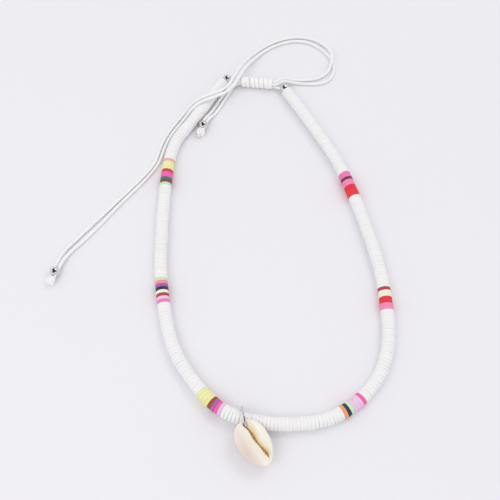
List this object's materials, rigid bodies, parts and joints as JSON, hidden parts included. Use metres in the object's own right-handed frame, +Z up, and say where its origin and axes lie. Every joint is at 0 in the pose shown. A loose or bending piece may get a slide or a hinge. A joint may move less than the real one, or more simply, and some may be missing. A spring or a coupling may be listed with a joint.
{
  "type": "heishi bead necklace",
  "caption": "White heishi disc necklace with groups of coloured discs, a cowrie shell on a ring and a sliding cord closure, lying open on a surface.",
  "frame": {"origin": "on the surface that the necklace lies on, in the middle of the string and the shell seen from above", "axes": "+Z up from the surface, +Y towards the cord closure, +X to the wearer's right-hand side as the necklace lies with the shell nearest"},
  "size_m": [0.1062, 0.1571, 0.0082],
  "materials": {
    "bead_metal": "polished",
    "cord": "waxed",
    "disc_brown": "satin",
    "disc_cream": "satin",
    "disc_crimson": "satin",
    "disc_dark_purple": "satin",
    "disc_dusty_pink": "satin",
    "disc_green": "satin",
    "disc_hot_pink": "satin",
    "disc_lilac": "satin",
    "disc_maroon": "satin",
    "disc_mint": "satin",
    "disc_navy": "satin",
    "disc_orange": "satin",
    "disc_pink": "satin",
    "disc_purple": "satin",
    "disc_red": "satin",
    "disc_rose": "satin",
    "disc_rust": "satin",
    "disc_teal": "satin",
    "disc_yellow": "satin",
    "knot": "waxed",
    "ring_metal": "polished",
    "shell": "gloss",
    "thread": "matte",
    "white_discs": "satin"
  },
  "bodies": {
    "root": {"bead_thread": "thread", "cowrie_shell": "shell", "end_bead_left": "bead_metal", "end_bead_right": "bead_metal", "group1_brown": "disc_brown", "group1_crimson": "disc_crimson", "group1_dusty_pink": "disc_dusty_pink", "group1_hot_pink": "disc_hot_pink", "group1_mint": "disc_mint", "group1_teal": "disc_teal", "group1_yellow": "disc_yellow", "group2_cream": "disc_cream", "group2_green": "disc_green", "group2_lilac": "disc_lilac", "group2_maroon": "disc_maroon", "group2_navy": "disc_navy", "group2_pink": "disc_pink", "group2_purple": "disc_purple", "group2_rose": "disc_rose", "group3_hot_pink": "disc_hot_pink", "group3_lilac": "disc_lilac", "group3_purple": "disc_purple", "group3_rust": "disc_rust", "group3_yellow": "disc_yellow", "group4_hot_pink": "disc_hot_pink", "group4_lilac": "disc_lilac", "group4_mint": "disc_mint", "group4_navy": "disc_navy", "group4_orange": "disc_orange", "group5_cream": "disc_cream", "group5_maroon": "disc_maroon", "group5_pink": "disc_pink", "group5_red": "disc_red", "group6_dark_purple": "disc_dark_purple", "group6_pink": "disc_pink", "group6_red": "disc_red", "group6_rose": "disc_rose", "jump_ring": "ring_metal", "long_cord_a": "cord", "long_cord_b": "cord", "short_cord_a": "cord", "short_cord_b": "cord", "sliding_knot": "knot", "stopper_knot_long": "knot", "stopper_knot_short": "knot", "tail_bead_long": "bead_metal", "tail_bead_short": "bead_metal", "white_discs_left": "white_discs", "white_discs_right": "white_discs"}
  },
  "joints": []
}
